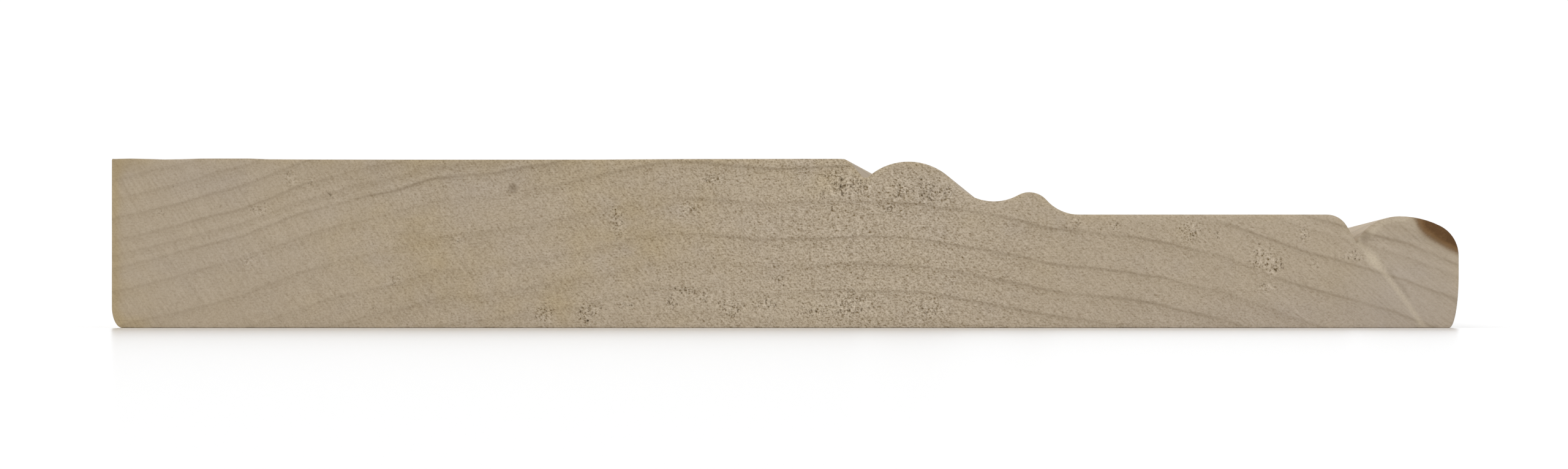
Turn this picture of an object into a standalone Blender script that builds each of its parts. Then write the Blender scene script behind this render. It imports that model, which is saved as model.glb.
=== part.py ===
"""Skirting board: one length of moulded hardwood, lying on its back.

It lies as a fitter lays it down to cut it, with its back on z = 0 and its moulded face up.
X runs across the board, from the floor edge (-X) to the nose that tops it on a wall (+X),
and Y runs along it. Both ends are cut square. Profile sizes are (across, up), measured from
the foot of the floor edge.
"""

import math

import bmesh
import bpy

MM = 0.001

# The whole board
HEIGHT = 140.0 * MM
THICKNESS = 17.6 * MM
LENGTH = 1000.0 * MM
FACET_ANGLE = 5.0

# Floor edge: a crisp front arris and a softened back corner
FRONT_ARRIS = 0.2 * MM
FLOOR_BACK_EASE = (1.1 * MM, 2.2 * MM)

# Fascia, and the sharp groove beside it
FASCIA_FLAT = 75.7 * MM
FASCIA_ROUND = 1.6 * MM
FASCIA_FLANK_SLOPE = 50.0
FASCIA_GROOVE_LEVEL = 15.6 * MM

# Large bead, rising straight out of the groove
BEAD_RADIUS = 6.35 * MM
BEAD_CENTRE = (82.84 * MM, 10.92 * MM)

# Cove between the beads; its radius is the one that touches both
COVE_LEVEL = 13.14 * MM

# Small bead, and the hollow that runs out from it into the stepped flat
SMALL_BEAD_RADIUS = 2.4 * MM
SMALL_BEAD_CENTRE = (95.39 * MM, 11.69 * MM)
HOLLOW_RADIUS = 4.5 * MM

# Stepped flat, and the groove that parts it from the nose
STEP_LEVEL = 11.77 * MM
STEP_END = 126.3 * MM
STEP_ROUND = 2.4 * MM
STEP_FLANK_SLOPE = 60.0
NOSE_GROOVE_LEVEL = 9.05 * MM

# Nose: three arcs that meet without a corner, and a softened back corner
NOSE_TOP = (133.85 * MM, 11.59 * MM)
NOSE_INNER_RADIUS = 5.2 * MM
NOSE_CROWN_RADIUS = 9.5 * MM
NOSE_SHOULDER_RADIUS = 3.5 * MM
NOSE_BACK_EASE = (1.0 * MM, 5.5 * MM)

# Bare, pale hardwood
WOOD_COLOUR = (0.392, 0.319, 0.233, 1.0)
WOOD_ROUGHNESS = 0.72

SHARP_ANGLE = 30.0
WELD_DISTANCE = 0.01 * MM


def clear_scene():
    for old in list(bpy.data.objects):
        bpy.data.objects.remove(old, do_unlink=True)


def arc(centre, radii, start, end):
    """Points along an arc, in degrees, of a circle (one radius) or an upright ellipse (two)."""
    across, up = radii if isinstance(radii, tuple) else (radii, radii)
    facets = max(2, math.ceil(abs(end - start) / FACET_ANGLE))
    turns = [math.radians(start + (end - start) * i / facets) for i in range(facets + 1)]
    return [(centre[0] + across * math.cos(t), centre[1] + up * math.sin(t)) for t in turns]


def angle_to(centre, point):
    return math.degrees(math.atan2(point[1] - centre[1], point[0] - centre[0]))


def angle_at_level(centre, radius, level):
    """The angle at which the left side of a circle passes this level."""
    return 180.0 - math.degrees(math.asin((level - centre[1]) / radius))


def flank_foot(top, slope, level):
    """Where a straight flank that falls from its top at this slope meets the groove's level."""
    return (top[0] + (top[1] - level) / math.tan(math.radians(slope)), level)


def reach_beside(bead_centre, bead_radius, hollow_radius, level):
    """How far across from a bead's centre lies that of a hollow that touches bead and level."""
    above = level - bead_centre[1]
    return math.sqrt((bead_radius - above) * (bead_radius + above + 2 * hollow_radius))


def cove_between_beads():
    """Centre and radius of the cove that touches both beads and bottoms out at its level."""
    apart = SMALL_BEAD_CENTRE[0] - BEAD_CENTRE[0]
    low, high = 0.0, apart
    while high - low > WELD_DISTANCE / 100:
        radius = (low + high) / 2
        from_large = reach_beside(BEAD_CENTRE, BEAD_RADIUS, radius, COVE_LEVEL)
        from_small = reach_beside(SMALL_BEAD_CENTRE, SMALL_BEAD_RADIUS, radius, COVE_LEVEL)
        if from_large + from_small > apart:
            high = radius
        else:
            low = radius
    return (BEAD_CENTRE[0] + from_large, COVE_LEVEL + radius), radius


def fascia():
    """Front arris, flat fascia and the straight flank that falls into its groove."""
    arris = arc((FRONT_ARRIS, THICKNESS - FRONT_ARRIS), FRONT_ARRIS, 180.0, 90.0)
    rounded = arc(
        (FASCIA_FLAT, THICKNESS - FASCIA_ROUND), FASCIA_ROUND, 90.0, 90.0 - FASCIA_FLANK_SLOPE
    )
    return arris + rounded + [flank_foot(rounded[-1], FASCIA_FLANK_SLOPE, FASCIA_GROOVE_LEVEL)]


def beads():
    """Large bead, cove, small bead and hollow, each touching the next without a corner."""
    groove_edge = angle_at_level(BEAD_CENTRE, BEAD_RADIUS, FASCIA_GROOVE_LEVEL)
    cove_centre, cove_radius = cove_between_beads()
    to_cove = angle_to(BEAD_CENTRE, cove_centre)
    from_cove = angle_to(SMALL_BEAD_CENTRE, cove_centre)
    run_out = reach_beside(SMALL_BEAD_CENTRE, SMALL_BEAD_RADIUS, HOLLOW_RADIUS, STEP_LEVEL)
    hollow_centre = (SMALL_BEAD_CENTRE[0] + run_out, STEP_LEVEL + HOLLOW_RADIUS)
    to_hollow = angle_to(SMALL_BEAD_CENTRE, hollow_centre)
    return (
        arc(BEAD_CENTRE, BEAD_RADIUS, groove_edge, to_cove)
        + arc(cove_centre, cove_radius, to_cove + 180.0, from_cove + 180.0)[1:]
        + arc(SMALL_BEAD_CENTRE, SMALL_BEAD_RADIUS, from_cove, to_hollow)[1:]
        + arc(hollow_centre, HOLLOW_RADIUS, to_hollow + 180.0, 270.0)[1:]
    )


def stepped_flat():
    """The flat's rounded end and the flank that falls into the groove beside the nose."""
    rounded = arc(
        (STEP_END, STEP_LEVEL - STEP_ROUND), STEP_ROUND, 90.0, 90.0 - STEP_FLANK_SLOPE
    )
    return rounded + [flank_foot(rounded[-1], STEP_FLANK_SLOPE, NOSE_GROOVE_LEVEL)]


def nose():
    """Inner arc up from the groove, low crown, and a tighter shoulder down to the edge."""
    inner_centre = (NOSE_TOP[0], NOSE_TOP[1] - NOSE_INNER_RADIUS)
    crown_centre = (NOSE_TOP[0], NOSE_TOP[1] - NOSE_CROWN_RADIUS)
    groove_edge = angle_at_level(inner_centre, NOSE_INNER_RADIUS, NOSE_GROOVE_LEVEL)
    # The shoulder's circle touches the crown from inside, and the board's edge at HEIGHT.
    across = HEIGHT - NOSE_SHOULDER_RADIUS - crown_centre[0]
    up = math.sqrt((NOSE_CROWN_RADIUS - NOSE_SHOULDER_RADIUS) ** 2 - across**2)
    shoulder_centre = (crown_centre[0] + across, crown_centre[1] + up)
    to_shoulder = angle_to(crown_centre, shoulder_centre)
    return (
        arc(inner_centre, NOSE_INNER_RADIUS, groove_edge, 90.0)
        + arc(crown_centre, NOSE_CROWN_RADIUS, 90.0, to_shoulder)[1:]
        + arc(shoulder_centre, NOSE_SHOULDER_RADIUS, to_shoulder, 0.0)[1:]
    )


def back():
    """The two softened corners, with the flat back between them."""
    nose_corner = (HEIGHT - NOSE_BACK_EASE[0], NOSE_BACK_EASE[1])
    floor_corner = FLOOR_BACK_EASE
    return arc(nose_corner, NOSE_BACK_EASE, 0.0, -90.0) + arc(
        floor_corner, FLOOR_BACK_EASE, -90.0, -180.0
    )


def profile():
    """The board's whole section, clockwise from the head of its floor edge."""
    return fascia() + beads() + stepped_flat() + nose() + back()


def extruded_outline(name, points, length):
    """A 2D curve through the points, filled, and extruded along Y about the origin."""
    outline = bpy.data.curves.new(name, "CURVE")
    outline.dimensions = "2D"
    outline.fill_mode = "BOTH"
    outline.extrude = length / 2
    spline = outline.splines.new("POLY")
    spline.points.add(len(points) - 1)
    for place, (across, up) in zip(spline.points, points):
        place.co = (across, up, 0.0, 1.0)
    spline.use_cyclic_u = True
    solid = bpy.data.objects.new(name, outline)
    solid.rotation_euler.x = math.radians(90.0)
    return solid


def to_mesh(curve_object):
    """Replaces a curve object by one welded mesh in the same place, with its rounds smooth."""
    bpy.context.view_layer.update()
    graph = bpy.context.evaluated_depsgraph_get()
    mesh = bpy.data.meshes.new_from_object(curve_object.evaluated_get(graph))
    welded = bmesh.new()
    welded.from_mesh(mesh)
    bmesh.ops.remove_doubles(welded, verts=welded.verts, dist=WELD_DISTANCE)
    bmesh.ops.recalc_face_normals(welded, faces=welded.faces)
    welded.to_mesh(mesh)
    welded.free()
    mesh.shade_smooth()
    mesh.set_sharp_from_angle(angle=math.radians(SHARP_ANGLE))
    name, place = curve_object.name, curve_object.matrix_world.copy()
    holder = curve_object.users_collection[0]
    bpy.data.objects.remove(curve_object, do_unlink=True)
    solid = bpy.data.objects.new(name, mesh)
    solid.matrix_world = place
    holder.objects.link(solid)
    return solid


def wood():
    material = bpy.data.materials.new("bare_hardwood")
    material.use_nodes = True
    surface = material.node_tree.nodes["Principled BSDF"]
    surface.inputs["Base Color"].default_value = WOOD_COLOUR
    surface.inputs["Roughness"].default_value = WOOD_ROUGHNESS
    surface.inputs["Metallic"].default_value = 0.0
    return material


def main():
    clear_scene()
    parts = bpy.data.collections.new("skirting_board_parts")
    bpy.context.scene.collection.children.link(parts)
    centred = [(across - HEIGHT / 2, up) for across, up in profile()]
    outline = extruded_outline("skirting_board", centred, LENGTH)
    parts.objects.link(outline)
    board = to_mesh(outline)
    board.data.materials.append(wood())


main()
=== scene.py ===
# A length of bare hardwood skirting, lying on its back with one sawn end to the camera.
# Places on the board are in millimetres: across from the floor edge, up from the back,
# and along from the near end.

import math

import bmesh
import bpy
import numpy as np
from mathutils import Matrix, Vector
from mathutils.geometry import delaunay_2d_cdt


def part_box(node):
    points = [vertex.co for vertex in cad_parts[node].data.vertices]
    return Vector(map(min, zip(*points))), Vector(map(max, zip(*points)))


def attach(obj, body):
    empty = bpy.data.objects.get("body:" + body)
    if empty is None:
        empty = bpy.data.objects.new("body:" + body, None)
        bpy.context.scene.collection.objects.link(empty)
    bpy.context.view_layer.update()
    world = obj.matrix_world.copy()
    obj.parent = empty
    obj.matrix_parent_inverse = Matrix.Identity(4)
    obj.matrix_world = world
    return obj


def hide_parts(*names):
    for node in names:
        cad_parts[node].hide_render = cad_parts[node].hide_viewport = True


mm = 0.001

print("Loading the packed model")
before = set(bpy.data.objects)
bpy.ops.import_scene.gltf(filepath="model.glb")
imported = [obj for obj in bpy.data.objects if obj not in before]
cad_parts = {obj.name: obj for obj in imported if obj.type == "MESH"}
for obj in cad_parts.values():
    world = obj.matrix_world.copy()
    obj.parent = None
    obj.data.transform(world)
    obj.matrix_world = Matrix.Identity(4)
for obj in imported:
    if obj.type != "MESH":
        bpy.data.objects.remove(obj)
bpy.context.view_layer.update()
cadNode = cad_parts["skirting_board"]
lowCorner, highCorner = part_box("skirting_board")
boardWidth = (highCorner.x - lowCorner.x) / mm
boardLength = (highCorner.y - lowCorner.y) / mm
endSpan = 18.0  # a little more than the thickness


def between(low, high, value):
    # 0 below low, 1 above high, smooth in between; the other way round where low is the larger
    t = np.clip((value - low) / (high - low), 0.0, 1.0)
    return t * t * (3.0 - 2.0 * t)


def bump(distance):
    # 1 at the middle, falling smoothly to 0 at 1
    return np.clip(1.0 - distance * distance, 0.0, 1.0) ** 2


def reading(points, value):
    # the height of a bent line through points
    places, heights = zip(*points)
    return np.interp(value, places, heights)


def ripples(rng, across, up, length, count=14):
    # a smooth uneven surface: waves of about one length in every direction
    total = np.zeros(len(across))
    for _ in range(count):
        turn = rng.uniform(0.0, 2.0 * math.pi)
        pitch = length * rng.uniform(0.6, 1.6)
        start = rng.uniform(0.0, 2.0 * math.pi)
        travel = across * math.cos(turn) + up * math.sin(turn)
        total += np.sin(travel * 2.0 * math.pi / pitch + start)
    return total / math.sqrt(count)


def distanceToLine(line, across, up):
    # shortest distance to a bent line, and which side of it: positive to its right
    nearest = np.full(len(across), 1e9)
    side = np.zeros(len(across))
    for (x0, z0), (x1, z1) in zip(line, line[1:]):
        dx, dz = x1 - x0, z1 - z0
        t = np.clip(((across - x0) * dx + (up - z0) * dz) / (dx * dx + dz * dz), 0.0, 1.0)
        away = np.hypot(across - x0 - t * dx, up - z0 - t * dz)
        turn = np.sign((up - z0) * dx - (across - x0) * dz)
        side = np.where(away < nearest, turn, side)
        nearest = np.minimum(away, nearest)
    return nearest, side


def distanceToPoints(places, points):
    # from each point to the nearest of the places, a few thousand points at a time
    away = np.full(len(points), 1e9)
    for start in range(0, len(points), 4000):
        part = points[start:start + 4000]
        gaps = np.hypot(part[:, None, 0] - places[None, :, 0], part[:, None, 1] - places[None, :, 1])
        away[start:start + 4000] = gaps.min(axis=1)
    return away


def stains(spots, across, up):
    total = np.zeros(len(across))
    for x, z, reachAcross, reachUp, strength in spots:
        total += strength * np.exp(-(((across - x) / reachAcross) ** 2) - ((up - z) / reachUp) ** 2)
    return total


# the board's shape and marks; single places are on the near end
skirting = {
    "seed": 7,
    "nearGrid": 0.34,  # between the points of each end's face
    "farGrid": 0.75,
    "gridJitter": 0.22,
    "rimGap": 0.24,  # and between them and the outline
    "outlineStep": 0.5,
    "firstStation": 0.75,  # rings of points along the board, close together near its ends
    "closeReach": 80.0,
    "stationGrowth": 1.55,
    "stationGap": 46.0,
    "creaseAngle": 33.0,

    # how the saw left the ends
    "setBack": 0.13,  # how far their faces lie inside the full length
    "nearForward": 0.02,
    "unevenness": (0.035, 11.0),  # how much, and over what length
    "sawCentre": (300.0, 202.0),  # of the saw's arc
    "sawPitch": 1.9,
    "sawDepth": 0.012,
    "sawSwell": (2.2, 16.0),  # how much the arc bends, and over what length

    # the rounded arrises round the ends
    "arris": 0.07,
    "lowerArris": 0.16,  # the edge that lies on the floor
    "arrisWander": (0.045, 2.2),  # how much, and over what length
    "arrisLimits": (0.03, 0.25),
    # a painted highlight along the arrises that face the light: how wide, from what height, how pale
    # across the board, and how warm
    "rimHighlightWidth": 0.75,
    "rimHighlightAbove": 4.0,
    "rimHighlightPale": [(0, 0.05), (60, 0.05), (78, 0.14)],
    "rimHighlightWarm": 0.6,

    # the step that runs from the nose groove down to the back, where the saw came in again; its pale
    # line is partly a painted highlight on the slope that faces the light and partly paler crushed
    # fibres, and a painted shadow runs beside it
    "stepLine": [
        (129.3, 9.3), (130.4, 8.0), (131.2, 6.9), (132.3, 5.7), (133.3, 4.4), (134.7, 2.5),
        (136.4, 0.0),
    ],
    "stepDrop": 0.17,
    "stepHalfWidth": 0.2,
    "stepHead": (9.6, 9.0),  # where it starts, and where it has its full depth
    "stepSpacing": 0.16,
    "stepOffsets": (-0.42, -0.26, -0.1, 0.06, 0.22, 0.4),  # of the rows of points beside it
    "stepClearance": 0.5,
    "stepWide": (131.2, 7.1, 1.69),  # its wider part: across, up, reach
    "stepPaleAndHighlight": (0.48, 0.45),  # how pale, painted highlight and paler fibres together, and what the wider part adds
    "stepWidth": (0.42, 0.6),
    "paleHead": (9.5, 8.6),
    "shadowLine": [(132.7, 6.05), (134.8, 3.3)],
    "shadow": (0.22, 0.3),  # how dark, and how wide

    # the painted highlight in a crescent inside the nose, along a ridge that catches the light, and
    # the scorch on its shoulder
    "litCrescentLine": [(131.0, 9.9), (131.4, 10.35), (132.3, 10.95), (133.2, 11.25), (134.4, 11.3)],
    "litCrescent": (0.6, 0.36),  # how pale, and how wide
    "scorchEdge": [
        (135.2, 11.8), (135.6, 11.2), (135.85, 10.5), (136.15, 10.0), (136.7, 9.55), (137.4, 9.1),
        (138.0, 8.7), (139.0, 8.15), (140.2, 7.6),
    ],
    "scorchSoftness": (-0.7, 0.9),  # where it starts outside the edge, and is full inside it
    "scorchAlong": 4.0,

    # the top of the fascia wanders by a tenth or so where the plane chattered
    "fasciaWander": [
        (0, -0.05), (2, 0.0), (4, -0.05), (5.4, -0.1), (7.2, -0.07), (9, -0.01), (10.4, 0.0),
        (14.4, 0.0), (16.2, -0.08), (20, -0.1), (30, -0.12), (50, -0.12), (60, -0.06), (72, -0.04),
    ],
    "fasciaEnd": 76.0,
    "wanderFade": (4.0, 60.0, 0.55),  # from, to, and how much of it goes

    # patches of torn grain: across, up, half width, half height, pits, size
    "tornPatches": [
        (76.3, 14.8, 1.9, 1.2, 26, 0.9),
        (74.6, 15.7, 0.5, 0.2, 5, 0.8),
        (73.9, 13.8, 0.4, 0.5, 8, 0.8),
        (77.9, 14.6, 1.0, 0.8, 20, 0.9),
        (82.1, 14.3, 0.9, 1.0, 20, 0.9),
        (84.2, 15.2, 0.3, 0.4, 5, 1.0),
        (85.1, 14.1, 1.2, 1.0, 22, 1.05),
        (86.9, 14.0, 0.7, 0.8, 12, 1.05),
        (74.9, 12.5, 0.2, 0.5, 5, 0.9),
        (80.8, 12.3, 0.5, 0.5, 9, 0.9),
        (45.0, 1.4, 0.8, 0.9, 13, 0.8),
        (49.4, 1.6, 1.1, 1.1, 20, 0.9),
        (53.5, 2.3, 0.9, 0.4, 8, 0.8),
        (58.2, 2.4, 0.4, 0.5, 5, 0.8),
        (112.2, 10.0, 1.0, 1.1, 12, 0.75),
        (115.0, 9.6, 0.2, 0.5, 4, 0.75),
        (119.1, 8.0, 1.0, 0.5, 8, 0.75),
        (120.0, 6.9, 1.5, 1.1, 12, 0.75),
        (121.1, 6.2, 0.7, 0.5, 12, 1.05),
        (123.9, 9.7, 0.5, 0.9, 7, 0.75),
        (120.2, 4.2, 0.9, 0.5, 7, 0.7),
        (125.2, 6.7, 0.4, 0.5, 5, 0.75),
        (129.1, 7.4, 0.8, 0.5, 9, 0.85),
        (18.7, 15.6, 0.7, 0.7, 7, 0.7),
        (15.2, 12.3, 0.9, 0.5, 6, 0.65),
        (4.9, 11.9, 0.6, 0.2, 3, 0.65),
        (62.5, 15.5, 1.3, 0.5, 11, 0.75),
        (52.6, 10.9, 0.6, 1.5, 16, 0.75),
        (60.1, 12.4, 1.0, 0.6, 7, 0.7),
        (58.2, 2.6, 0.5, 0.7, 8, 1.0),
        (59.5, 3.9, 0.9, 0.5, 12, 1.0),
        (61.5, 3.2, 0.8, 0.6, 7, 0.9),
        (64.4, 2.1, 1.1, 0.8, 14, 0.85),
        (68.1, 2.5, 1.2, 0.6, 11, 0.85),
        (69.4, 4.9, 0.6, 0.5, 6, 0.8),
        (73.0, 1.8, 1.4, 0.7, 14, 0.85),
        (76.6, 2.5, 1.9, 1.2, 28, 0.95),
        (84.9, 1.9, 1.6, 0.8, 12, 0.8),
        (100.2, 10.8, 0.4, 0.5, 6, 0.75),
        (104.2, 10.5, 0.5, 0.6, 7, 0.75),
        (36.0, 9.1, 0.5, 0.5, 4, 0.65),
        (29.3, 4.8, 0.6, 0.5, 4, 0.65),
        (14.1, 6.9, 0.5, 0.5, 4, 0.6),
        (20.8, 15.2, 0.4, 0.4, 4, 0.6),
    ],
    "tornReach": 1.1,
    "tornStrength": (0.35, 22.0),  # at least, and the pits that make up the rest
    "pitsPerPatch": 0.9,
    "nearPits": 200,  # single pits besides
    "farPits": 60,
    "pitClearance": 0.2,
    "blackDepth": 0.13,  # a pit this deep gets the darkest painted shade

    # single marks: across, up, half width, half height, lean in degrees, depth
    "singleMarks": [
        (75.9, 15.4, 0.09, 0.32, 4, 0.26),
        (75.8, 14.6, 0.08, 0.38, -6, 0.28),
        (75.95, 13.9, 0.09, 0.24, 8, 0.24),
        (49.5, 0.75, 0.14, 0.12, 0, 0.3),
        (22.7, 13.8, 0.05, 0.62, 45, 0.1),
        (129.5, 8.95, 0.12, 0.2, 30, 0.2),
    ],
    "knot": (41.7, 14.5, 0.46, 0.6),  # across, up, reach, how dark

    # how coarse the end grain shows, across the board
    "openGrain": [
        (0, 0.2), (13, 0.26), (24, 0.36), (32, 0.46), (44, 0.52), (56, 0.62), (68, 0.8), (76, 0.95),
        (85, 0.9), (92, 0.68), (100, 0.5), (115, 0.42), (127, 0.32), (131, 0.2), (140, 0.13),
    ],
    "longOpenGrain": 0.3,

    # growth rings: how far they have dropped at each place across, and the levels they stand at
    "ringDrop": [
        (-6, 16.2), (0, 12.95), (7.5, 11.1), (14, 9.35), (20, 7.0), (26.6, 5.25), (30.4, 4.5),
        (33.6, 3.45), (39.3, 2.95), (46, 1.85), (52, 0.5), (57, -0.5), (61.6, -0.5), (68, 0.1),
        (77.5, -0.25), (84, 0.0), (90, 0.95), (96.6, 2.35), (109.4, 4.0), (116, 5.7), (122, 8.0),
        (128.4, 9.9), (134.8, 11.7), (146, 16.2),
    ],
    "ringLevels": [
        -9.5, -7.0, -4.4, -1.8, 0.95, 3.7, 6.4, 9.2, 12.9, 16.6, 19.0, 20.3, 21.9, 24.25, 26.2, 28.2,
        30.4, 32.3, 34.6,
    ],

    # how clearly the rings show of themselves, across the board and on the long faces
    "ringShow": [(0, 0.26), (28, 0.26), (58, 0.13), (84, 0.16), (104, 0.26), (140, 0.24)],
    "longRingShow": 0.5,

    # stretches where a ring shows most: level, from, to, strength
    "boldRings": [
        (19.0, 24, 47, 0.75), (16.6, 48, 78, 0.75), (16.6, 114, 141, 0.5), (12.9, 58, 113, 0.6),
        (12.9, 119, 137, 0.6), (9.2, 60, 112, 0.6), (6.4, 76, 115, 0.6), (3.7, 72, 101, 0.5),
        (20.3, 122, 141, 0.65), (21.9, 5, 30, 0.25), (24.25, 5, 24, 0.2), (19.0, 8, 24, 0.25),
    ],
    "boldReach": 1.1,

    # soft stains, with a little painted shade and highlight among them: across, up, reach across,
    # reach up, strength
    "warmStains": [
        (33.5, 6.5, 6.5, 5.6, 1.0), (53.5, 10.5, 6.5, 4.4, 1.2), (74, 14.9, 3.8, 2.1, 0.9),
        (0.1, 9, 0.9, 30, 1.7), (48, 5.5, 8, 2.5, 0.4), (39, 1.5, 3.5, 1.5, 0.5),
        (46, 16.9, 26, 1.7, 0.7), (3, 5.5, 3.5, 3, 0.4), (2.2, 0.4, 3.0, 0.9, 1.4),
        (98, 11.6, 4, 1.8, 0.5), (45.5, 2.4, 3.4, 1.8, 0.9), (63, 8.5, 7, 5, 0.35),
        (0.8, 17, 3.4, 1.3, 0.9), (26, 11, 5, 5, 0.4),
    ],
    "coolStains": [
        (8.6, 15.2, 5, 2.2, 0.6), (134.5, 4.6, 6, 5.5, 1.0), (37, 15, 5, 2.4, 0.35),
        (84, 13, 3.4, 3, 0.3), (10, 7, 8, 4, 0.3), (125, 0.8, 22, 2.8, 0.7),
    ],
    # dark stains; the one at 130.2 across is painted shade in the bottom of the nose groove
    "darkStainsAndShade": [
        (0.2, 8, 1.0, 9, 0.55), (38, 16.9, 24, 1.9, 0.7), (32, 13.6, 9, 3.0, 0.4),
        (18, 1.2, 6, 2, 0.5), (26.6, 14.9, 1.6, 1.0, 0.8), (31.2, 9.9, 1.3, 0.9, 0.5),
        (1.2, 16.6, 2.4, 1.3, 1.2), (130.2, 9.5, 0.45, 0.8, 2.8), (54, 10.2, 4.6, 2.8, 0.5),
        (50, 2.0, 6, 2.0, 0.35), (34, 4, 7, 4, 0.35), (85.2, 14.0, 1.2, 0.9, 0.4),
    ],
    # pale stains; the long narrow one at 11.5 up is a painted highlight just under the top edge there
    "paleStainsAndHighlight": [
        (65.5, 14.6, 3.2, 1.1, 0.6), (72.8, 14.6, 2.6, 1.5, 1.0), (90, 11.7, 3.2, 1.2, 0.5),
        (78, 7, 9, 4, 0.3), (87, 15.4, 3.4, 2.6, 0.8), (70, 1.9, 18, 2.6, 0.8),
        (133, 5, 6, 5, 0.7), (121, 11.5, 14, 0.7, 0.6), (56, 4.5, 6, 2.6, 0.3),
    ],
    "darkStrength": 0.14,
    "paleStrength": 0.18,
}

# what the mesh tells the wood, point by point
markNames = ("hollow", "openGrain", "torn", "pale", "dark", "warm", "cool", "scorch", "ringForce")


def cadOutline():
    # the section's outline, walked along the edges that the end shares with the long faces
    place = []
    for vertex in cadNode.data.vertices:
        across = (vertex.co.x - lowCorner.x) / mm
        up = (vertex.co.z - lowCorner.z) / mm
        place.append((round(across, 4), round(up, 4)))
    atEnd = [v.co.y < lowCorner.y + 0.01 * mm for v in cadNode.data.vertices]
    following = {}
    for face in cadNode.data.polygons:
        corners = list(face.vertices)
        if len({atEnd[c] for c in corners}) == 1:
            continue
        for a, b in zip(corners, corners[1:] + corners[:1]):
            if atEnd[a] and atEnd[b] and place[a] != place[b]:
                following[place[a]] = place[b]
    walk = [min(following)]
    while following[walk[-1]] != walk[0]:
        walk.append(following[walk[-1]])
    found = np.array(walk)
    nextOnes = np.roll(found, -1, axis=0)
    area = np.sum(found[:, 0] * nextOnes[:, 1] - nextOnes[:, 0] * found[:, 1])
    return found if area > 0 else found[::-1]


def withMorePoints(corners, step):
    # long straight stretches get points of their own
    filled = []
    for a, b in zip(corners, np.roll(corners, -1, axis=0)):
        parts = max(1, math.ceil(np.hypot(*(b - a)) / step))
        filled += [a + (b - a) * i / parts for i in range(parts)]
    return np.array(filled)


def outwardOf(corners):
    # the way out of the section at each of its points
    ahead = np.roll(corners, -1, axis=0) - corners
    ahead /= np.hypot(ahead[:, 0], ahead[:, 1])[:, None]
    mean = ahead + np.roll(ahead, 1, axis=0)
    mean /= np.hypot(mean[:, 0], mean[:, 1])[:, None]
    return np.stack([mean[:, 1], -mean[:, 0]], axis=1)


print("Reading the section from the packed model")
outline = withMorePoints(cadOutline(), skirting["outlineStep"])
outward = outwardOf(outline)
topPart = np.array([p for p, n in zip(outline, outward) if n[1] > 0.05])
topPart = topPart[np.argsort(topPart[:, 0])]


def scatterPits(rng, patches, loose):
    # across, up, half width, half height, lean, depth
    pits = []
    for x, z, reachAcross, reachUp, count, size in patches:
        for _ in range(round(count * skirting["pitsPerPatch"])):
            spread = rng.normal(0.0, 0.55, 2)
            radius = size * rng.uniform(0.05, 0.105)
            tall = radius * rng.uniform(1.0, 2.3)
            lean = rng.uniform(-25, 25)
            deep = radius * rng.uniform(0.9, 1.5)
            place = (x + spread[0] * reachAcross, z + spread[1] * reachUp)
            pits.append((*place, radius, tall, lean, deep))
    while loose > 0:
        x, z = rng.uniform(0.5, boardWidth - 0.5), rng.uniform(0.5, 17.0)
        if rng.random() > reading(skirting["openGrain"], x) ** 3:
            continue
        radius = rng.uniform(0.04, 0.08)
        tall = radius * rng.uniform(0.8, 1.7)
        lean = rng.uniform(-30, 30)
        deep = radius * rng.uniform(0.6, 1.1)
        pits.append((x, z, radius, tall, lean, deep))
        loose -= 1
    return pits


def pitDepth(pits, across, up):
    # how deep the pits are at each point, and how dark their insides look: painted shade that grows
    # with the depth, over dark end grain
    depth = np.zeros(len(across))
    hollow = np.zeros(len(across))
    for x, z, halfWidth, halfHeight, lean, deep in pits:
        reach = 2.0 * max(halfWidth, halfHeight)
        near = np.nonzero((np.abs(across - x) < reach) & (np.abs(up - z) < reach))[0]
        if not len(near):
            continue
        turn = math.radians(lean)
        dx, dz = across[near] - x, up[near] - z
        wide = (dx * math.cos(turn) + dz * math.sin(turn)) / halfWidth
        high = (dz * math.cos(turn) - dx * math.sin(turn)) / halfHeight
        shape = bump(np.hypot(wide, high) / 1.25)
        darkness = min(1.0, deep / skirting["blackDepth"])
        depth[near] = np.maximum(depth[near], deep * shape)
        hollow[near] = np.maximum(hollow[near], darkness * shape)
    return depth, hollow


def pitPoints(pits):
    # the middle of each pit, its brim, and a ring outside that holds the brim up
    brim, outside = (0.75, 6, 0.0), (1.35, 7, 0.5)  # scale, points, and their turn
    points = []
    for x, z, halfWidth, halfHeight, lean, _ in pits:
        cosine, sine = math.cos(math.radians(lean)), math.sin(math.radians(lean))
        points.append((x, z))
        for scale, count, shift in (brim, outside):
            for i in range(count):
                angle = 2.0 * math.pi * (i + shift) / count
                dx, dz = scale * halfWidth * math.cos(angle), scale * halfHeight * math.sin(angle)
                points.append((x + dx * cosine - dz * sine, z + dx * sine + dz * cosine))
    return points


def hexGrid(rng, step):
    # points in shifted rows over a whole end, each a little out of its place
    rows = np.arange(0.0, endSpan, step * math.sqrt(0.75))
    columns = np.arange(0.0, boardWidth, step)
    across, up = np.meshgrid(columns, rows)
    across = across + (np.arange(len(rows)) % 2)[:, None] * step / 2
    points = np.stack([across.ravel(), up.ravel()], axis=1)
    jitter = skirting["gridJitter"]
    return points + rng.uniform(-jitter, jitter, points.shape) * step


def stepRows():
    # close rows of points down both sides of the saw's step
    points = []
    for (x0, z0), (x1, z1) in zip(skirting["stepLine"], skirting["stepLine"][1:]):
        length = math.hypot(x1 - x0, z1 - z0)
        side = ((z1 - z0) / length, -(x1 - x0) / length)
        count = max(1, round(length / skirting["stepSpacing"]))
        for i in range(count):
            x, z = x0 + (x1 - x0) * i / count, z0 + (z1 - z0) * i / count
            points += [(x + side[0] * off, z + side[1] * off) for off in skirting["stepOffsets"]]
    return points


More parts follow.
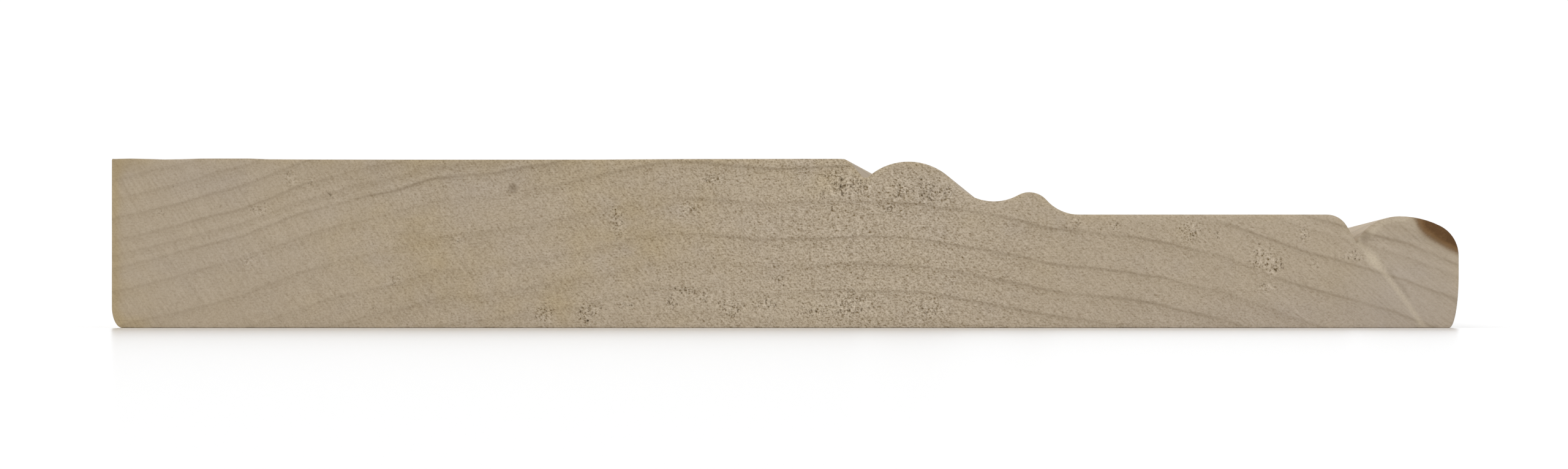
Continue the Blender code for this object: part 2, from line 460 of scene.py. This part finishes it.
def endDepth(rng, across, up, near):
    # how far each point of an end lies inside the full length, without its pits
    amount, length = skirting["unevenness"]
    depth = skirting["setBack"] + amount * ripples(rng, across, up, length)
    amount, length = skirting["sawSwell"]
    swell = np.clip(ripples(rng, across, up, length), -1.2, 1.2)
    fromSaw = np.hypot(across - skirting["sawCentre"][0], up - skirting["sawCentre"][1])
    stroke = fromSaw * 2.0 * math.pi / skirting["sawPitch"] + amount * swell
    depth += skirting["sawDepth"] * np.sin(stroke)
    if near:
        away, side = distanceToLine(skirting["stepLine"], across, up)
        beyond = between(-skirting["stepHalfWidth"], skirting["stepHalfWidth"], away * side)
        depth -= skirting["nearForward"]
        depth += skirting["stepDrop"] * beyond * between(*skirting["stepHead"], up)
    return depth


def markNearEnd(marks, across, up):
    # what shows on the near end alone
    # a painted highlight along the step, where its slope faces the light, over paler crushed fibres
    x, z, reach = skirting["stepWide"]
    wide = bump(np.hypot(across - x, up - z) / reach)
    away, _ = distanceToLine(skirting["stepLine"], across, up)
    paleness = skirting["stepPaleAndHighlight"][0] + skirting["stepPaleAndHighlight"][1] * wide
    width = skirting["stepWidth"][0] + skirting["stepWidth"][1] * wide
    marks["pale"] += paleness * bump(away / width) * between(*skirting["paleHead"], up)

    # the painted highlight of the crescent inside the nose
    away, _ = distanceToLine(skirting["litCrescentLine"], across, up)
    marks["pale"] += skirting["litCrescent"][0] * bump(away / skirting["litCrescent"][1])
    away, _ = distanceToLine(skirting["shadowLine"], across, up)
    marks["dark"] += skirting["shadow"][0] * bump(away / skirting["shadow"][1])
    x, z, reach, darkness = skirting["knot"]
    marks["dark"] += darkness * between(1.45, 0.7, np.hypot(across - x, up - z) / reach)
    away, side = distanceToLine(skirting["scorchEdge"], across, up)
    marks["scorch"] = between(*skirting["scorchSoftness"], away * side)

    least, most = skirting["tornStrength"]
    for x, z, reachAcross, reachUp, count, _ in skirting["tornPatches"]:
        acrossIt = (across - x) / (skirting["tornReach"] * reachAcross)
        upIt = (up - z) / (skirting["tornReach"] * reachUp)
        strength = min(1.0, least + count / most)
        marks["torn"] = np.maximum(marks["torn"], strength * np.exp(-(acrossIt ** 2) - upIt ** 2))

    marks["warm"] = stains(skirting["warmStains"], across, up)
    marks["cool"] = stains(skirting["coolStains"], across, up)
    # dark stains, with painted shade in the nose groove
    marks["dark"] += skirting["darkStrength"] * stains(skirting["darkStainsAndShade"], across, up)
    # pale stains, with a painted highlight under the top edge near the nose
    marks["pale"] += skirting["paleStrength"] * stains(skirting["paleStainsAndHighlight"], across, up)
    level = up + reading(skirting["ringDrop"], across)
    for ring, start, stop, force in skirting["boldRings"]:
        stretch = between(start - 3.0, start + 4.0, across) * between(stop + 3.0, stop - 4.0, across)
        marks["ringForce"] += force * stretch * bump((level - ring) / skirting["boldReach"])


def endMarks(pits, across, up, rimDistance, near):
    # the depth of each point of an end, and what the wood reads there
    rng = np.random.default_rng(skirting["seed"] + 40 + near)
    depth = endDepth(rng, across, up, near)
    sunk, hollow = pitDepth(pits, across, up)
    marks = {name: np.zeros(len(across)) for name in markNames}
    marks["hollow"] = hollow
    marks["openGrain"] = reading(skirting["openGrain"], across)
    marks["ringForce"] = reading(skirting["ringShow"], across)
    if near:
        markNearEnd(marks, across, up)
    # painted highlight: the arrises are paler and yellower where the light catches them, but not
    # those that lie on the floor
    rimHighlight = bump(rimDistance / skirting["rimHighlightWidth"]) * (up > skirting["rimHighlightAbove"])
    marks["pale"] += rimHighlight * reading(skirting["rimHighlightPale"], across)
    marks["warm"] += skirting["rimHighlightWarm"] * rimHighlight
    return depth + sunk, marks


def endFace(rim, near, grid, pits):
    # the triangles of one end, and every mark on its points; the rim's points come first
    rng = np.random.default_rng(skirting["seed"] + near)
    plain = hexGrid(rng, grid)
    gap = distanceToPoints(np.array([pit[:2] for pit in pits]), plain)
    plain = plain[gap > skirting["pitClearance"]]
    added = [np.array(pitPoints(pits))]
    if near:
        away, _ = distanceToLine(skirting["stepLine"], plain[:, 0], plain[:, 1])
        plain = plain[away > skirting["stepClearance"]]
        added.append(np.array(stepRows()))
    points = np.concatenate([plain] + added)
    x, z = points.T
    top = np.interp(x, topPart[:, 0], topPart[:, 1])
    points = points[(x > 0.0) & (x < boardWidth) & (z > 0.0) & (z < top)]
    points = points[distanceToPoints(rim, points) > skirting["rimGap"]]

    corners = [Vector(p) for p in np.concatenate([rim, points])]
    made = delaunay_2d_cdt(corners, [], [list(range(len(rim)))], 1, 0.004, True)
    madePoints, madeFaces, pointSources, faceSources = made[0], made[2], made[3], made[5]
    # the faces without a source fill the hollows outside the section
    triangles = [tuple(face) for face, source in zip(madeFaces, faceSources) if source]
    used = sorted({c for triangle in triangles for c in triangle})
    place = {c: i for i, c in enumerate(used)}
    triangles = [tuple(place[c] for c in triangle) for triangle in triangles]
    spots = np.array([(madePoints[c].x, madePoints[c].y) for c in used])
    rimPlace = {source: place[c] for c in used for source in pointSources[c] if source < len(rim)}
    depth, marks = endMarks(pits, spots[:, 0], spots[:, 1], distanceToPoints(rim, spots), near)
    return spots, triangles, [rimPlace[i] for i in range(len(rim))], depth, marks


def stationsAlong():
    # close together at both ends and wide apart between
    near = [skirting["firstStation"]]
    while near[-1] < skirting["closeReach"]:
        near.append(near[-1] * skirting["stationGrowth"])
    count = round((boardLength - 2.0 * near[-1]) / skirting["stationGap"])
    middle = np.linspace(near[-1], boardLength - near[-1], count + 1)[1:-1]
    return near + list(middle) + [boardLength - s for s in reversed(near)]


def ringPlaces(along):
    # one ring of points round the board; the fascia's top wanders, most of all near the end
    onTop = (outward[:, 1] > 0.9) * (outline[:, 0] < skirting["fasciaEnd"])
    wander = reading(skirting["fasciaWander"], outline[:, 0]) * onTop
    start, stop, share = skirting["wanderFade"]
    placed = outline.copy()
    placed[:, 1] += wander * (1.0 - share * between(start, stop, along))
    return placed


def arrisSizes(rng):
    # larger where the end meets the back
    lower = between(0.5, -0.5, outward[:, 1]) * between(1.0, 0.0, outline[:, 1])
    size = skirting["arris"] + (skirting["lowerArris"] - skirting["arris"]) * lower
    amount, length = skirting["arrisWander"]
    wander = np.clip(ripples(rng, outline[:, 0], outline[:, 1], length), -0.9, 1.4)
    return np.clip(size + amount * wander, *skirting["arrisLimits"])


def farPatches():
    # the far end tore in fewer places, and less
    kept = [patch for patch in skirting["tornPatches"][::3] if patch[0] > 20]
    return [(boardWidth - x, z * 0.8, w, h, count // 2, size) for x, z, w, h, count, size in kept]


# places on the unwrapped sheet: the long faces lie lowest, the far end above them, and the near
# end in two halves above that
sheet = {
    "edge": 0.003,
    "longSize": (0.994, 0.545),
    "backShare": 0.3,  # the back gets less of the sheet
    "farFoot": 0.56,
    "farHeight": 0.1,
    "farMargin": 1.0,
    "nearFoot": 0.67,
    "nearHeight": 0.16,
    "nearRise": 0.165,  # from one half to the other
    "nearShift": 69.0,
    "nearMargin": 0.5,
    "nearWidth": 72.0,
}


def perimeterShares():
    # how far round the section each point lies, from 0 to 1
    steps = np.hypot(*(np.roll(outline, -1, axis=0) - outline).T)
    share = np.where(outward[:, 1] < -0.9, sheet["backShare"], 1.0) * steps
    return np.concatenate([[0.0], np.cumsum(share)]) / share.sum()


def longUv(along, share):
    width, height = sheet["longSize"]
    return sheet["edge"] + width * along / boardLength, sheet["edge"] + height * share


def farUv(across, up):
    u = (across + sheet["farMargin"]) / (boardWidth + 2.0 * sheet["farMargin"])
    return u, sheet["farFoot"] + sheet["farHeight"] * up / endSpan


def nearUv(across, up, half):
    u = (across - half * sheet["nearShift"] + sheet["nearMargin"]) / sheet["nearWidth"]
    foot = sheet["nearFoot"] + sheet["nearRise"] * half
    return u, foot + sheet["nearHeight"] * up / endSpan


def arrisMarks(found):
    kept = {name: held.copy() for name, held in found.items()}
    kept["hollow"] *= 0.3
    return kept


def longMarks(found, along):
    # the end's marks run out in a millimetre or so, the scorch in a few
    atEnd = 1.0 - between(0.0, 1.4, along)
    kept = {name: held * atEnd for name, held in found.items()}
    kept["scorch"] = found["scorch"] * (1.0 - between(0.2, 1.0, along / skirting["scorchAlong"]))
    kept["ringForce"] = np.full(len(outline), skirting["longRingShow"])
    kept["openGrain"] = np.full(len(outline), skirting["longOpenGrain"])
    return kept


def meshOf(corners, faces, uvs, endFlags, marks):
    mesh = bpy.data.meshes.new("skirtingBoard")
    mesh.from_pydata(corners, [], faces)
    mesh.update()
    for name, held in marks.items():
        layer = mesh.attributes.new(name, "FLOAT", "POINT")
        layer.data.foreach_set("value", np.array(held, np.float32))
    flag = mesh.attributes.new("endFace", "FLOAT", "FACE")
    flag.data.foreach_set("value", np.array(endFlags, np.float32))
    unwrapped = mesh.uv_layers.new(name="OFBake")
    unwrapped.data.foreach_set("uv", np.array(uvs, np.float32).ravel())
    mesh.shade_smooth()
    creases = bmesh.new()
    creases.from_mesh(mesh)
    for edge in creases.edges:
        if len(edge.link_faces) == 2 and all(len(f.verts) == 4 for f in edge.link_faces):
            edge.smooth = edge.calc_face_angle(0.0) < math.radians(skirting["creaseAngle"])
    creases.to_mesh(mesh)
    creases.free()
    return mesh


def buildBoard():
    # both ends and the long faces between them, in one closed mesh
    rng = np.random.default_rng(skirting["seed"])
    count = len(outline)
    corners, faces, uvs, endFlags = [], [], [], []
    rings, ringAlong = [], []
    marks = {name: [] for name in markNames}
    arris = arrisSizes(rng)
    nearPits = scatterPits(rng, skirting["tornPatches"], skirting["nearPits"])
    nearPits += skirting["singleMarks"]
    farPits = scatterPits(rng, farPatches(), skirting["farPits"])
    perimeter = perimeterShares()

    def addCorners(places, along, values):
        first = len(corners)
        corners.extend(zip(
            lowCorner.x + places[:, 0] * mm, lowCorner.y + along * mm, lowCorner.z + places[:, 1] * mm
        ))
        for name, held in marks.items():
            held.extend(values[name])
        return first

    def addEnd(near, grid, pits):
        rim = ringPlaces(0.0 if near else boardLength) - outward * arris[:, None]
        spots, triangles, rimPlace, depth, values = endFace(rim, near, grid, pits)
        first = addCorners(spots, depth if near else boardLength - depth, values)
        for triangle in triangles:
            order = triangle if near else triangle[::-1]
            half = int(np.mean(spots[list(triangle), 0]) >= boardWidth / 2)
            faces.append([first + c for c in order])
            uvs.extend(nearUv(*spots[c], half) if near else farUv(*spots[c]) for c in order)
            endFlags.append(1.0)
        atRim = {name: held[rimPlace] for name, held in values.items()}
        return [first + p for p in rimPlace], depth[rimPlace], atRim

    def addRing(places, along, values):
        first = addCorners(places, along, values)
        rings.append(list(range(first, first + count)))
        ringAlong.append(along)

    print("Cutting the near end")
    nearRim, nearDepth, nearMarks = addEnd(1, skirting["nearGrid"], nearPits)
    print("Cutting the far end")
    farRim, farDepth, farMarks = addEnd(0, skirting["farGrid"], farPits)

    print("Planing the long faces")
    arrisMiddle, arrisFoot = (0.29, 0.29), (0.0, 1.0)  # shares of the arris, inward and along
    rings.append(nearRim)
    ringAlong.append(np.zeros(count))
    for inset, ahead in (arrisMiddle, arrisFoot):
        places = ringPlaces(0.0) - outward * (arris * inset)[:, None]
        addRing(places, nearDepth + arris * ahead, arrisMarks(nearMarks))
    for along in stationsAlong():
        addRing(ringPlaces(along), np.full(count, along), longMarks(nearMarks, along))
    for inset, ahead in (arrisFoot, arrisMiddle):
        places = ringPlaces(boardLength) - outward * (arris * inset)[:, None]
        addRing(places, boardLength - farDepth - arris * ahead, arrisMarks(farMarks))
    rings.append(farRim)
    ringAlong.append(np.full(count, boardLength))
    for k in range(len(rings) - 1):
        onArris = k < 2 or k > len(rings) - 4
        for i in range(count):
            j = (i + 1) % count
            faces.append([rings[k][i], rings[k + 1][i], rings[k + 1][j], rings[k][j]])
            for ring, column in ((k, i), (k + 1, i), (k + 1, i + 1), (k, i + 1)):
                uvs.append(longUv(ringAlong[ring][column % count], perimeter[column]))
            endFlags.append(1.0 if onArris else 0.0)

    board = bpy.data.objects.new("mouldedBoard", meshOf(corners, faces, uvs, endFlags, marks))
    bpy.context.scene.collection.objects.link(board)
    return board


class Wire:
    # a socket that takes Python's arithmetic
    def __init__(self, shader, socket):
        self.shader = shader
        self.socket = socket

    def __add__(self, other):
        return self.shader.sum("ADD", self, other)

    def __radd__(self, other):
        return self.shader.sum("ADD", other, self)

    def __sub__(self, other):
        return self.shader.sum("SUBTRACT", self, other)

    def __rsub__(self, other):
        return self.shader.sum("SUBTRACT", other, self)

    def __mul__(self, other):
        return self.shader.sum("MULTIPLY", self, other)

    def __rmul__(self, other):
        return self.shader.sum("MULTIPLY", other, self)

    def __truediv__(self, other):
        return self.shader.sum("DIVIDE", self, other)

    def __rtruediv__(self, other):
        return self.shader.sum("DIVIDE", other, self)

    def __pow__(self, other):
        return self.shader.sum("POWER", self, other)

    def __neg__(self):
        return self.shader.sum("SUBTRACT", 0.0, self)


class Shader:
    def __init__(self, name):
        self.material = bpy.data.materials.new(name)
        self.material.use_nodes = True
        self.tree = self.material.node_tree
        self.tree.nodes.clear()

    def node(self, kind, settings=None, sockets=None, out=0):
        # settings first, since some of them change the sockets
        made = self.tree.nodes.new("ShaderNode" + kind)
        for name, value in (settings or {}).items():
            if name == "stops":
                self.setStops(made.color_ramp, value)
            elif name == "curve":
                self.setCurve(made.mapping, value)
            else:
                setattr(made, name, value)
        for name, value in (sockets or {}).items():
            if isinstance(value, Wire):
                self.tree.links.new(value.socket, made.inputs[name])
            elif made.inputs[name].type == "RGBA":
                made.inputs[name].default_value = (*value, 1.0)
            else:
                made.inputs[name].default_value = value
        return Wire(self, made.outputs[out]) if made.outputs else None

    def setStops(self, ramp, stops):
        while len(ramp.elements) < len(stops):
            ramp.elements.new(1.0)
        for element, (place, colour) in zip(ramp.elements, stops):
            element.position = place
            element.color = (*colour, 1.0)

    def setCurve(self, mapping, points):
        # straight from point to point; the points run from 0 to 1 both ways
        line = mapping.curves[0]
        while len(line.points) < len(points):
            line.points.new(0.5, 0.5)
        for point, place in zip(line.points, points):
            point.location = place
            point.handle_type = "VECTOR"
        mapping.update()

    def sum(self, operation, a, b=0.0):
        return self.node("Math", {"operation": operation}, {0: a, 1: b})

    def readCurve(self, value, points):
        # a bent line through points in real units
        lowX, highX = points[0][0], points[-1][0]
        heights = [p[1] for p in points]
        lowY, highY = min(heights), max(heights)
        scaled = [((x - lowX) / (highX - lowX), (y - lowY) / (highY - lowY)) for x, y in points]
        read = self.node("FloatCurve", {"curve": scaled}, {"Value": (value - lowX) / (highX - lowX)})
        return lowY + read * (highY - lowY)

    def rise(self, value, low, high):
        # 0 below low, 1 above high; the other way round where low is the larger
        sockets = {"Value": value, "From Min": min(low, high), "From Max": max(low, high)}
        sockets["To Min"], sockets["To Max"] = (0.0, 1.0) if low < high else (1.0, 0.0)
        return self.node("MapRange", {"interpolation_type": "SMOOTHSTEP"}, sockets)

    def spread(self, value, width):
        # 1 at nought, falling away to both sides
        return self.sum("EXPONENT", -((value / width) ** 2.0))

    def place(self, x, y, z):
        return self.node("CombineXYZ", None, {0: x, 1: y, 2: z})

    def noise(self, where, detail=2.0, roughness=0.55):
        # about -0.5 to 0.5, in cells of one unit
        made = self.node("TexNoise", None, {
            "Vector": where, "Scale": 1.0, "Detail": detail, "Roughness": roughness,
        })
        return made - 0.5

    def cells(self, where):
        # the distance from the nearest of the points strewn about one unit apart
        return self.node("TexVoronoi", None, {"Vector": where, "Scale": 1.0}, "Distance")

    def attribute(self, name):
        return self.node("Attribute", {"attribute_name": name}, None, "Fac")

    def mix(self, factor, a, b, how="MIX"):
        settings = {"data_type": "RGBA", "blend_type": how, "clamp_factor": True}
        return self.node("Mix", settings, {0: factor, 6: a, 7: b}, 2)

    def tint(self, factor, colour, by):
        return self.mix(factor, colour, self.mix(1.0, colour, by, "MULTIPLY"))

    def dim(self, colour, value):
        return self.node("VectorMath", {"operation": "SCALE"}, {0: colour, "Scale": value})

    def shifted(self, colour, by):
        return self.node("VectorMath", {"operation": "ADD"}, {0: colour, 1: by})

    def ramp(self, value, stops):
        return self.node("ValToRGB", {"stops": stops}, {0: value})

    def relief(self, height, depth):
        return self.node("Bump", None, {"Strength": 1.0, "Distance": depth * mm, "Height": height})


# bare, pale wood, in linear colours; lengths in millimetres
wood = {
    "endColour": (0.4, 0.323, 0.229),
    "endShift": (0.356, 0.323, 0.279),  # how far the colour moves as the tone does
    "darkestTone": 0.25,
    "longColour": (0.455, 0.368, 0.262),
    "warmTint": (0.975, 0.93, 0.76),
    "coolTint": (0.96, 0.985, 1.09),
    # pale stains and painted highlights
    "paleAndHighlightColour": (0.57, 0.485, 0.36),
    # dark stains and painted shade: in the pits, beside the step and in the nose groove
    "darkAndShadeColour": (0.11, 0.07, 0.026),
    "scorchStops": [
        (0.0, (0.33, 0.25, 0.15)),
        (0.4, (0.19, 0.12, 0.06)),
        (0.77, (0.17, 0.088, 0.029)),
        (1.0, (0.099, 0.043, 0.007)),
    ],
    "ringColour": (0.17, 0.12, 0.064),
    "ringWidth": 0.16,
    "ringDark": 0.44,
    "lateWood": 0.085,  # how much darker the wood is on the way to a ring
    "mottle": 0.12,
    "scratches": (0.13, 0.2),  # everywhere, and what the scratched places add
    "specks": 0.6,
    "relief": 0.09,
    "roughness": 0.74,
    "specular": 0.35,
    "knifePitch": 1.7,  # of the cutter's marks along the long faces
}


def hardwood():
    s = Shader("bareHardwood")
    spot = s.node("TexCoord", out="Object")
    x, y, z = [
        (s.node("SeparateXYZ", None, {0: spot}, i) - low) / mm for i, low in enumerate(lowCorner)
    ]
    marks = {name: s.attribute(name) for name in markNames}
    line, mottle, shared = growthRings(s, x, y, z, marks)
    endGrain = endWood(s, x, y, z, marks, line, mottle, shared)
    longGrain = longWood(s, x, y, z, marks, line, mottle, shared)
    both = s.node("MixShader", None, {0: s.attribute("endFace"), 1: longGrain, 2: endGrain})
    s.node("OutputMaterial", None, {0: both})
    return s.material


def growthRings(s, x, y, z, marks):
    # the rings wander slowly along the board; what both kinds of grain share comes with them
    levels = skirting["ringLevels"]
    part = y / boardLength
    sway = 5.0 * s.sum("SINE", part * 5.2) + 2.0 * s.sum("SINE", part * 13.0)
    lift = 3.4 * s.sum("SINE", part * 2.7) - 1.3 * s.sum("SINE", part * 9.3)
    warp = s.noise(s.place(x / 6.0, y / 90.0, z / 5.0), 1.0)
    level = z + s.readCurve(x + sway, skirting["ringDrop"]) + lift + 0.6 * warp
    number = s.sum("ROUND", s.readCurve(level, [(r, float(i)) for i, r in enumerate(levels)]))
    away = level - s.readCurve(number, [(float(i), r) for i, r in enumerate(levels)])
    vary = s.noise(s.place(x / 7.0, y / 90.0, number * 5.3), 1.0) + 0.62
    line = s.spread(away, wood["ringWidth"]) * marks["ringForce"] * s.rise(vary, 0.15, 0.75)
    lateWood = s.rise(away, -1.5, -0.05) * s.rise(away, 0.3, 0.0) * vary
    ringTone = s.noise(s.place(number * 3.7, 0.5, 0.5), 0.0)
    mottle = s.noise(s.place(x / 6.0, y / 40.0, z / 4.0), 2.0)
    shared = 1.0 - wood["lateWood"] * lateWood + 0.05 * ringTone + wood["mottle"] * mottle
    return line * wood["ringDark"], mottle, shared


def endWood(s, x, y, z, marks, line, mottle, shared):
    # fine pores, combed one way by the saw, and dark specks where the grain tore
    openness, torn, burnt = marks["openGrain"], marks["torn"], marks["scorch"]
    sawAcross, sawUp = skirting["sawCentre"]
    fromSaw = s.sum("SQRT", (x - sawAcross) ** 2.0 + (z - sawUp) ** 2.0)
    alongSaw = x * 0.64 - z * 0.77
    fine = s.noise(s.place(x * 4.8, y, z * 5.8), 1.0, 0.7)
    combed = s.noise(s.place(fromSaw * 5.2, alongSaw * 1.4, y), 1.0, 0.6)
    laid = s.noise(s.place(x * 2.3, y, z * 6.0), 1.0, 0.6)
    dashes = s.noise(s.place(x * 6.0, y, z * 1.9), 1.0, 0.6)
    grit = s.noise(s.place(x * 1.4, y, z * 1.4), 2.0, 0.6)
    clouds = s.noise(s.place(x / 5.0, y / 30.0 + 5.0, z / 4.2), 2.0)
    scratches = s.noise(s.place(fromSaw * 4.0, alongSaw * 0.15, y * 0.2), 1.0, 0.6)
    scratched = s.rise(s.noise(s.place(x / 7.0, 8.0, z / 5.0), 1.0), -0.2, 0.14)
    cells = s.cells(s.place(x * 3.3, y * 0.3, z * 2.7))
    scattered = s.noise(s.place(x / 1.1, 3.0, z / 1.0), 1.0, 0.6)
    opened = s.rise(scattered + 0.55 * torn + 0.1 * openness, 0.16, 0.42)
    # dark specks where the grain tore, and between them painted highlights on their rims
    specks = (wood["specks"] * s.rise(cells, 0.34, 0.14) - 0.18 * s.rise(cells, 0.5, 0.72)) * opened

    # the tone: its bright flecks are held back, since the dark ones go deeper
    texture = 1.75 * fine + 0.95 * combed + 1.25 * laid + 0.25 * grit + 0.06
    texture = texture - 0.4 * texture ** 2.0 + 0.03
    tone = shared + (openness + 0.5 * torn) * texture + 0.7 * torn * dashes
    tone = tone + (wood["scratches"][0] + wood["scratches"][1] * scratched) * scratches - specks
    shift = s.dim(wood["endShift"], s.sum("MAXIMUM", tone, wood["darkestTone"]) - 1.0)
    colour = s.shifted(wood["endColour"], shift)

    # stains, rings, painted highlights and shade, torn places, and the scorch
    colour = s.tint(s.rise(0.45 * marks["warm"] + 1.2 * clouds, 0.0, 1.0), colour, wood["warmTint"])
    colour = s.tint(s.rise(clouds, 0.0, -0.4) * 0.5, colour, wood["coolTint"])
    colour = s.tint(marks["cool"] * 0.8, colour, wood["coolTint"])
    colour = s.mix(line, colour, wood["ringColour"])
    # pale stains, and the painted highlights on the arrises, the step, the crescent and the top edge
    colour = s.mix(marks["pale"] * (0.8 + fine), colour, wood["paleAndHighlightColour"])
    # dark stains and the knot, with the painted shadow beside the step and painted shade in the nose
    # groove
    colour = s.mix(marks["dark"] * 0.8, colour, wood["darkAndShadeColour"])
    charred = s.rise(burnt + burnt * (1.0 - burnt) * (fine + scratches), 0.02, 0.6)
    char = s.ramp(burnt + 0.3 * grit + 0.2 * fine, wood["scorchStops"])
    colour = s.mix(charred, colour, char)
    # painted shade in the pits, darker the deeper they are, over their dark end grain
    colour = s.mix(marks["hollow"] * 0.9, colour, wood["darkAndShadeColour"])
    height = (openness + torn) * (fine + combed) + 0.4 * scratches - 0.5 * specks
    return s.node("BsdfPrincipled", None, {
        "Base Color": colour,
        "Roughness": wood["roughness"] + 0.12 * mottle - 0.1 * burnt + 0.08 * marks["hollow"],
        "Specular IOR Level": wood["specular"],
        "Normal": s.relief(height, wood["relief"]),
    })


def longWood(s, x, y, z, marks, line, mottle, shared):
    # fibres, short pores and broad figure, all drawn out along the board
    burnt = marks["scorch"]
    fibre = s.noise(s.place(x * 2.6, y * 0.03, z * 2.6), 2.0, 0.65)
    thread = s.noise(s.place(x * 7.0, y * 0.11, z * 7.0), 1.0, 0.6)
    pores = s.rise(s.noise(s.place(x * 5.0, y * 0.32, z * 5.0), 0.0), -0.2, -0.31)
    figure = s.noise(s.place(x / 14.0, y / 70.0, z / 14.0), 1.0, 0.5)
    knife = s.sum("SINE", y * 2.0 * math.pi / wood["knifePitch"] + 1.5 * figure)
    tone = shared + 0.2 * fibre + 0.14 * thread + 0.16 * figure - 0.12 * pores
    colour = s.dim(wood["longColour"], tone)
    colour = s.tint(s.rise(0.6 * marks["warm"] + 0.4 * figure, 0.0, 1.0), colour, wood["warmTint"])
    colour = s.mix(line, colour, wood["ringColour"])
    # pale marks from the end, painted highlights among them, run out along the board
    colour = s.mix(marks["pale"] * 0.75, colour, wood["paleAndHighlightColour"])
    char = s.ramp(burnt + 0.3 * fibre, wood["scorchStops"])
    colour = s.mix(s.rise(burnt, 0.03, 0.8), colour, char)
    height = 0.14 * fibre - 0.35 * pores + 0.012 * knife
    return s.node("BsdfPrincipled", None, {
        "Base Color": colour,
        "Roughness": wood["roughness"] - 0.06 + 0.12 * mottle - 0.1 * burnt,
        "Specular IOR Level": wood["specular"],
        "Normal": s.relief(height, wood["relief"]),
    })


board = buildBoard()
print("Finishing the wood")
board.data.materials.append(hardwood())
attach(board, "root")
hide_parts("skirting_board")
print("The board has", sum(len(f.vertices) - 2 for f in board.data.polygons), "triangles")


studio = {
    "floorSize": 60.0,  # in metres
    "floorColour": (0.947, 0.955, 0.967),
    "floorRoughness": 0.14,
    "floorSpecular": 0.4,
    "backdrop": 1.04,  # how bright the white round the board looks
    "dome": 0.8,  # and how much of it lights the board
    "key": 1.0,
    "keyAngle": 32.0,
    "keyFrom": (-0.75, -0.95, 1.5),
}


def buildFloor():
    bpy.ops.mesh.primitive_plane_add(size=studio["floorSize"], location=(0.0, 0.0, lowCorner.z))
    floor = bpy.context.object
    floor.name = "floor"
    s = Shader("paleFloor")
    surface = s.node("BsdfPrincipled", None, {
        "Base Color": studio["floorColour"],
        "Roughness": studio["floorRoughness"],
        "Specular IOR Level": studio["floorSpecular"],
    })
    s.node("OutputMaterial", None, {0: surface})
    floor.data.materials.append(s.material)


def buildLight():
    key = bpy.data.lights.new("softKey", "SUN")
    key.energy = studio["key"]
    key.angle = math.radians(studio["keyAngle"])
    lamp = bpy.data.objects.new("softKey", key)
    lamp.rotation_euler = Vector(studio["keyFrom"]).to_track_quat("Z", "Y").to_euler()
    bpy.context.scene.collection.objects.link(lamp)

    world = bpy.data.worlds.new("whiteDome")
    world.use_nodes = True
    bpy.context.scene.world = world
    nodes, links = world.node_tree.nodes, world.node_tree.links
    path = nodes.new("ShaderNodeLightPath")
    level = nodes.new("ShaderNodeMath")
    level.operation = "MULTIPLY_ADD"
    level.inputs[1].default_value = studio["dome"] - studio["backdrop"]
    level.inputs[2].default_value = studio["backdrop"]
    links.new(path.outputs["Is Diffuse Ray"], level.inputs[0])
    links.new(level.outputs[0], nodes["Background"].inputs["Strength"])
    nodes["Background"].inputs["Color"].default_value = (1.0, 1.0, 1.0, 1.0)
    bpy.context.scene.view_settings.view_transform = "Standard"


eye = {
    "lens": 500.0,
    "sensor": 36.0,
    "pictureWidth": 162.94,  # how much of the near end's plane the picture takes in
    "aimAcross": 69.9,
    "aimUp": 9.7,
    "standAcross": 102.0,
    "height": 3.6,
    "clip": (0.05, 100.0),  # in metres
}


def buildCamera():
    data = bpy.data.cameras.new("eye")
    data.lens, data.sensor_width = eye["lens"], eye["sensor"]
    data.clip_start, data.clip_end = eye["clip"]
    camera = bpy.data.objects.new("eye", data)
    reach = eye["pictureWidth"] * mm * eye["lens"] / eye["sensor"]
    target = lowCorner + Vector((eye["aimAcross"] * mm, 0.0, eye["aimUp"] * mm))
    camera.location = lowCorner + Vector((eye["standAcross"] * mm, -reach, eye["height"] * mm))
    camera.rotation_euler = (target - camera.location).to_track_quat("-Z", "Y").to_euler()
    bpy.context.scene.collection.objects.link(camera)
    bpy.context.scene.camera = camera


print("Setting the floor, the light and the camera")
buildFloor()
buildLight()
buildCamera()
